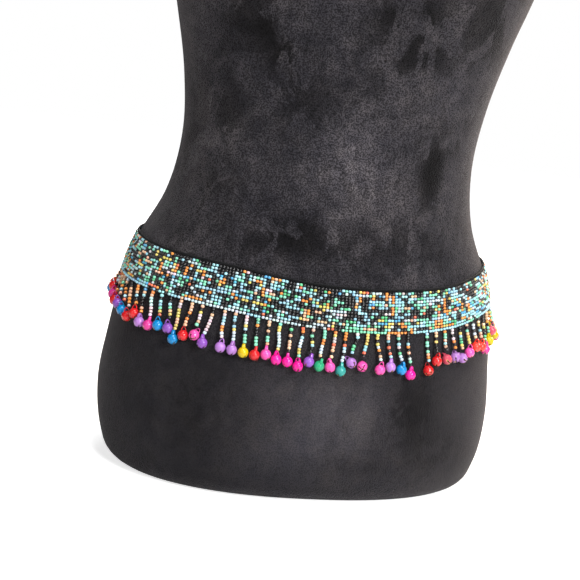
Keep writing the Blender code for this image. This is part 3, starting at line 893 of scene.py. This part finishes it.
def make_strands(bead_material, thread_material, eyes):
    """The strands: beads end to end along each one, and the thread from the band to the bell's eye."""
    place = np.repeat(HUNG, STRAND_BEADS[HUNG])
    number = np.concatenate([np.arange(count) for count in STRAND_BEADS[HUNG]])
    t = (number + 0.5) / STRAND_BEADS[place]
    centres = on_strand(place, t)
    up = on_strand(place, t - 0.02) - on_strand(place, t + 0.02)
    picks = strand_glass()[place, number]
    sizes = np.where(picks < 0, STRAND_BLACK_SIZE, STRAND_SIZE) * RNG.normal(1.0, STRAND_SPREAD, len(place))
    shape = bead_shape()
    beads = repeated(shape, centres, bead_frames(up, centres * FLAT, sizes))
    new_piece("strand_beads", beads, bead_material, FRINGE_NODES,
              {"glass": glass_colours(picks, len(shape[0]))})

    steps = np.linspace(0, 1, 12)
    paths = [np.vstack([on_strand(np.full(len(steps), strand), steps), eye])
             for strand, eye in zip(HUNG, eyes)]
    threads, uv = threads_along(paths, [path * FLAT for path in paths], THREAD_RADIUS, 5)
    new_piece("strand_threads", threads, thread_material, FRINGE_NODES, uv=uv)


def bell_shape():
    """One bell about its centre, slots down: a hollow ball in four petals, with the parts' edge masks.

    At an angle up from the lowest point a slot is open by half to each side: the slot's half width, or
    the half chord of the round hole that ends it where that is wider.  Each petal spans what is left
    of its quarter, and above the holes the petals meet.  The inner wall is the same, drawn in.
    """
    reach = math.radians(SLOT_REACH)
    hole = HOLE_RADIUS / BELL_RADIUS * np.array([-0.95, -0.6, 0, 0.6, 0.95, 1.0])
    rise = np.concatenate([np.radians([9, 24, 40]), reach + hole, np.radians([86, 100, 116, 132, 148, 163])])
    arc = BELL_RADIUS * (rise - reach)
    chord = np.sqrt(np.clip(HOLE_RADIUS ** 2 - arc ** 2, 0, None))
    half = np.where(arc < 0, np.maximum(chord, SLOT_HALF), chord)
    trim = np.arcsin(half / (BELL_RADIUS * np.sin(rise)))
    across = np.linspace(-1, 1, PETAL_STEPS + 1)
    turn = math.pi / 2 * np.arange(4)[:, None] + across * (math.pi / 4 - trim[:, None, None])
    ball = (on_ball(rise[:, None, None], turn) * [1, 1, -1]).reshape(-1, 3)
    radii = (BELL_RADIUS, BELL_RADIUS - BELL_WALL)
    points = np.concatenate([radius * ball for radius in radii] + [[[0, 0, radius]] for radius in radii])
    inner = turn.size
    poles = (2 * inner, 2 * inner + 1)
    number = np.arange(inner).reshape(turn.shape)
    shut = half == 0
    number[shut, :, 0] = np.roll(number[shut, :, -1], 1, axis=1)

    def wall(below, above):
        return stacked(below, above, above + inner, below + inner).reshape(-1, 4)

    lower, upper = number[:-1], number[1:]
    skin = stacked(lower[..., :-1], lower[..., 1:], upper[..., 1:], upper[..., :-1]).reshape(-1, 4)
    crown = stacked(number[-1, :, :-1], number[-1, :, 1:]).reshape(-1, 2)
    cap = np.column_stack([crown, np.full(len(crown), poles[0])])
    lining = np.column_stack([crown[:, ::-1] + inner, np.full(len(crown), poles[1])])
    slots = number[:np.flatnonzero(half > 0)[-1] + 2]
    rims = [wall(slots[:-1, :, 0], slots[1:, :, 0]), wall(slots[:-1, :, -1], slots[1:, :, -1])[:, ::-1],
            wall(number[0, :, 1:], number[0, :, :-1])]
    quads = np.concatenate([skin, skin[:, ::-1] + inner] + rims)
    triangles = np.concatenate([cap, lining])
    used, renumbered = np.unique(np.concatenate([quads.ravel(), triangles.ravel()]), return_inverse=True)
    groups = [renumbered[:quads.size].reshape(-1, 4), renumbered[quads.size:].reshape(-1, 3)]
    edge, inside = np.zeros((2, len(points)))
    edge[np.concatenate(rims).ravel()] = 1.0
    inside[inner:2 * inner] = 1.0
    inside[poles[1]] = 1.0
    points = points[used]
    return (points, outward(points, groups)), edge[used], inside[used]


def eye_shape():
    """The strap that stands on a bell's crown: a flat bar along half an ellipse, with its feet spread."""
    bend = np.radians(np.linspace(-8, 188, 11))
    spread = 1 + EYE_FLARE * (1 - np.abs(np.sin(bend))) ** 2
    rise = BELL_RADIUS - EYE_SUNK + (EYE_HEIGHT + 0.15) * np.sin(bend)
    path = stacked(EYE_HALF_SPAN * spread * np.cos(bend), 0, rise)
    away = unit(stacked(np.cos(bend) / EYE_HALF_SPAN, 0, np.sin(bend) / EYE_HEIGHT))
    corner = np.radians(np.arange(8) * 45.0 + 22.5)
    wide = EYE_WIDTH / 2 * np.clip(1.3 * np.sin(corner), -1, 1) * spread[:, None]
    thick = EYE_THICKNESS / 2 * np.clip(1.3 * np.cos(corner), -1, 1)
    beside = wide[:, :, None] * np.array([0.0, 1.0, 0.0])
    return lofted(path[:, None] + thick[None, :, None] * away[:, None] + beside)


def ball_shape(radius, centre, rings=6, sides=8):
    """A ball: rings of points from pole to pole, with a fan of triangles at each pole."""
    polar = np.linspace(0, math.pi, rings + 1)[1:-1, None]
    points = np.vstack([on_ball(polar, circle(sides)).reshape(-1, 3), [[0, 0, 1], [0, 0, -1]]])
    rows, first = len(polar), np.arange(sides)
    last = first + (rows - 1) * sides
    top = stacked(np.roll(first, -1), first, len(points) - 2)
    bottom = stacked(last, np.roll(last, -1), len(points) - 1)
    points = radius * points + np.asarray(centre)
    return points, outward(points, [grid_faces(rows, sides), np.concatenate([top, bottom])])


def bell_frames():
    """Each bell's centre and axes: upright but for a lean, and turned at random about its own axis."""
    place = STRAND_ROOTS[HUNG] + STRAND_SWAYS[HUNG]
    drop = BAND_HEIGHT + STRAND_BEADS[HUNG] * ROW_PITCH + LOOP_DROP + BELL_RADIUS
    centres = on_belt(place, drop, BELL_STANDOFF)
    off = unit(on_belt(place, drop, BELL_STANDOFF + 1) - centres)
    up = np.broadcast_to([0.0, 0.0, 1.0], off.shape)
    onward = np.cross(up, off)
    lean = np.abs(RNG.normal(0, BELL_LEAN, len(HUNG)))
    swing = RNG.uniform(0, 360, len(HUNG))
    for row in ASKEW_BELLS:
        askew = HUNG == row["place"]
        lean[askew], swing[askew] = row["lean"], row["swing"]
    lean, swing = np.radians(lean)[:, None], np.radians(swing)[:, None]
    away = np.cos(swing) * off + np.sin(swing) * onward
    axis = np.cos(lean) * up - np.sin(lean) * away
    flat = unit(np.cross(axis, onward))
    spin = np.radians(RNG.normal(0, EYE_TURN, (len(HUNG), 1)))
    x = np.cos(spin) * flat + np.sin(spin) * np.cross(axis, flat)
    return centres, np.stack([x, np.cross(axis, x), axis], axis=1)


def make_bells(material, centres, frames):
    """The bells: hollow ball, eye and clapper, each in its paint; the inside is bare brass gone dark."""
    ball, edge, inside = bell_shape()
    eye = eye_shape()
    clapper = ball_shape(CLAPPER_RADIUS, (*CLAPPER_ASIDE, -BELL_RADIUS + BELL_WALL + CLAPPER_RADIUS))
    edge = np.concatenate([edge, np.zeros(len(eye[0]) + len(clapper[0]))])
    bare = np.concatenate([inside, np.zeros(len(eye[0])), np.ones(len(clapper[0]))])[None, :, None]
    letters = RNG.choice(list(PAINTS), len(PLACES))
    letters[PAINT_START:PAINT_START + len(PAINT_CHART)] = list(PAINT_CHART)
    paints = srgb([PAINTS[letter] for letter in letters[HUNG]]) * RNG.normal(1, PAINT_SPREAD, (len(HUNG), 1))
    colours = paints[:, None] * (1 - bare) + srgb(DARK_BRASS) * bare
    bells = repeated(joined(ball, eye, clapper), centres, frames)
    new_piece("bells", bells, material, FRINGE_NODES,
              {"paint": np.clip(colours.reshape(-1, 3), 0, 0.95), "edge": np.tile(edge, len(HUNG))})


# The back closure

def closure_ball(on_face):
    """A round bead on its shank: rings about the direction off the band, from the shank's foot on."""
    surface, above = on_face(0.0, np.array([0.0, 1.0]), BAND_FACE)
    beyond = on_face(0.0, 0.0, BAND_FACE + SEAM) - surface
    side = np.array([-beyond[1], beyond[0], 0.0]) / np.linalg.norm(beyond)
    upright = (above - surface) / np.linalg.norm(above - surface)
    across = np.cross(side, upright)
    middle = surface + (SEAM + 2 * LOOP_CORD_RADIUS + SEAM + CLOSURE_BEAD_RADIUS) * across
    turn = circle(28)
    around = np.outer(np.cos(turn), side) + np.outer(np.sin(turn), upright)
    feet = (surface - 0.6 * across, surface + (SEAM + 1.0) * across)
    shank = [foot + SHANK_RADIUS * around for foot in feet]
    ball = [middle + CLOSURE_BEAD_RADIUS * (math.sin(polar) * around + math.cos(polar) * across)
            for polar in np.radians(np.linspace(164, 6, 18))]
    return lofted(np.array(shank + ball))


def closure_loop(on_face):
    """A cord's path round the shank and back to its stitches, and the direction off the band along it."""
    reach = BACK_GAP + LOOP_REACH
    bend = np.radians(np.linspace(-90, 90, 24))
    run = np.linspace(0, 1, 40)[1:-1]
    sag = LOOP_SAG * np.sin(math.pi * run)
    far = stacked(-LOOP_END_RADIUS * np.cos(bend), LOOP_END_RADIUS * np.sin(bend))
    upper = stacked(reach * run, LOOP_END_RADIUS - sag)
    place, rise = np.vstack([far, upper, [reach, 0.0] - far, [reach, 0.0] - upper]).T
    out = BAND_FACE + SEAM + LOOP_CORD_RADIUS
    path = on_face(place, rise, out)
    return path, on_face(place, rise, out + 1) - path


def closure_stitches(on_face):
    """Three stitches over a loop's near end, one across its bend and one over each of its two sides."""
    arch = np.radians(np.linspace(0, 180, 13))
    out = BAND_FACE - 0.3 + (SEAM + 2 * LOOP_CORD_RADIUS + 0.55) * np.sin(arch)
    half = STITCH_HALF * np.cos(arch)
    start = BACK_GAP + LOOP_REACH
    paths = [on_face(start + LOOP_END_RADIUS + half, 0 * arch, out)]
    along, aside = STITCH_PLACE
    paths += [on_face(start + along + 0 * arch, rise + half, out) for rise in (aside, -aside)]
    facings = [np.gradient(path, axis=0)[:, [1, 2, 0]] + [0.1, 0.2, 0.3] for path in paths]
    return threads_along(paths, facings, STITCH_RADIUS, 6)


def make_closure(number, drop, cord_material, glass_material):
    """A round bead on a shank at the band's left end, the cord loop round it, and the loop's stitches."""
    height = top_edge(math.pi / 2) - drop

    def on_face(place, rise, out):
        """Points from the shank on, round the back, at a rise over the closure's height."""
        shank = GIRTH - BACK_GAP / 2 - LOOP_REACH / 2
        turn = np.interp(np.mod(shank + place, GIRTH), GIRTH_RUN, TURNS)
        return form_skin(turn, height + rise, out)

    new_piece(f"closure_ball_{number}", closure_ball(on_face), glass_material,
              [f"closure_bead_{number}"])
    path, facing = closure_loop(on_face)
    sides = 10
    radius = twisted_radius(path, sides, LOOP_CORD_RADIUS, plies=2, lay=3.0, depth=0.2)
    new_piece(f"closure_cord_{number}", tube(path, facing, radius, sides, closed=True), cord_material,
              [f"closure_loop_{number}"], uv=tube_map(path, sides, closed=True))
    stitches, uv = closure_stitches(on_face)
    new_piece(f"closure_stitches_{number}", stitches, cord_material, uv=uv)


# Floor, lights and camera

def make_stage():
    """A white floor and backdrop that light the form only faintly, and the soft boxes of LIGHTS."""
    corners = [(x * FLOOR_REACH, y * FLOOR_REACH, 0) for x, y in ((-1, -1), (1, -1), (1, 1), (-1, 1))]
    mesh = bpy.data.meshes.new("floor")
    mesh.from_pydata(corners, [], [(0, 1, 2, 3)])
    material, tree, shader = new_material("floor")
    place = add_node(tree, "TexCoord").outputs["Object"]
    away = add_node(tree, "VectorMath", {0: place}, operation="LENGTH").outputs["Value"]
    seen = add_node(tree, "LightPath").outputs["Is Camera Ray"]
    glow = ranged(tree, away, FLOOR_RANGE, FLOOR_GLOW)
    fill(tree, shader, {
        "Base Color": (0.8, 0.8, 0.8, 1.0), "Roughness": 0.9, "Specular IOR Level": 0.0,
        "Emission Color": (1.0, 1.0, 1.0, 1.0), "Emission Strength": math_node(tree, "MULTIPLY", glow, seen)})
    mesh.materials.append(material)
    new_object("floor", mesh)

    world = bpy.data.worlds.new("studio")
    world.use_nodes = True
    tree = world.node_tree
    path = add_node(tree, "LightPath").outputs
    unseen = ranged(tree, path["Is Glossy Ray"], target=(AMBIENT, MIRRORED))
    fill(tree, tree.nodes["Background"], {
        "Color": (1.0, 1.0, 1.0, 1.0), "Strength": ranged(tree, path["Is Camera Ray"], target=(unseen, 1.0))})
    bpy.context.scene.world = world
    for name, settings in LIGHTS.items():
        add_softbox(name, *settings)


def direction(turn, rise):
    """From the form to a place turned to the right of its front and raised, in radians."""
    return np.array([math.sin(turn) * math.cos(rise), -math.cos(turn) * math.cos(rise), math.sin(rise)])


def add_softbox(name, turn, rise, size, power, warmth):
    """A square area light that looks at the belt."""
    light = bpy.data.lights.new(name, "AREA")
    light.size = size
    light.energy = power
    light.color = (1.0, 1.0 - warmth / 2, 1.0 - warmth)
    towards = direction(math.radians(turn), math.radians(rise))
    place_looking(new_object(name, light), towards * LIGHT_DISTANCE + LIGHT_TARGET, towards, 0.0)


def place_looking(item, place, back, roll):
    """Sets an object at a place with its -Z along minus back and its X level, then rolls it about -Z."""
    right = unit(np.array([-back[1], back[0], 0.0]))
    up = np.cross(back, right)
    x = math.cos(roll) * right + math.sin(roll) * up
    y = -math.sin(roll) * right + math.cos(roll) * up
    matrix = np.eye(4)
    matrix[:3, :3] = np.stack([x, y, back], axis=1)
    matrix[:3, 3] = place
    item.matrix_world = matrix.T.tolist()
    return x, y


def make_camera():
    """The photograph's camera: a little to the wearer's right, a little above the belt, and rolled."""
    turn, rise, roll = np.radians([CAMERA_TURN, CAMERA_RISE, CAMERA_ROLL])
    back = direction(turn, rise)
    data = bpy.data.cameras.new("camera")
    data.sensor_width = SENSOR_WIDTH
    data.lens = SENSOR_WIDTH * FOCAL_SHARE
    data.clip_start = 0.05
    item = new_object("camera", data)
    right, up = place_looking(item, np.zeros(3), back, roll)
    place = np.array(CAMERA_TARGET) + back * CAMERA_DISTANCE + right * CAMERA_ASIDE + up * CAMERA_LIFT
    place_looking(item, place * MM, back, roll)
    bpy.context.scene.camera = item


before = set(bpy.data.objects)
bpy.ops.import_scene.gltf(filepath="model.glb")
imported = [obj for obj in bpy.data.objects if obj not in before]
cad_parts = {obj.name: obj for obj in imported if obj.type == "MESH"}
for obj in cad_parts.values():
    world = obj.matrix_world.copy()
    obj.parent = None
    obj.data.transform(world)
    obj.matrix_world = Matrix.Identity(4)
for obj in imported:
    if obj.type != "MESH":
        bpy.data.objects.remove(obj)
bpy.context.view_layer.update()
bpy.context.scene.view_settings.view_transform = "Standard"
make_camera()
make_stage()

mottle, twist = mottle_group(), twist_group()
velvet = velvet_finish(mottle, crush_group())
black_cord = cord_finish("black_cord", (7, 7, 9), mottle, twist, 18, 0.0042)
black_thread = cord_finish("black_thread", (6, 6, 8), mottle, twist, 6, 0.0012)
black_glass = black_glass_finish(mottle)

make_form(velvet)
make_band(glass_finish("seed_beads", mottle))
make_ground(black_thread)
make_edge_cord(black_cord)
bell_centres, bell_axes = bell_frames()
bell_eyes = bell_centres + bell_axes[:, 2] * (BELL_RADIUS + EYE_HEIGHT - THREAD_TUCK)
make_strands(glass_finish("strand_beads", mottle), black_thread, bell_eyes)
make_bells(bell_finish(mottle), bell_centres, bell_axes)
for closure, rise_of_loop in enumerate(CLOSURE_HEIGHTS, start=1):
    make_closure(closure, BAND_HEIGHT / 2 - rise_of_loop, black_cord, black_glass)
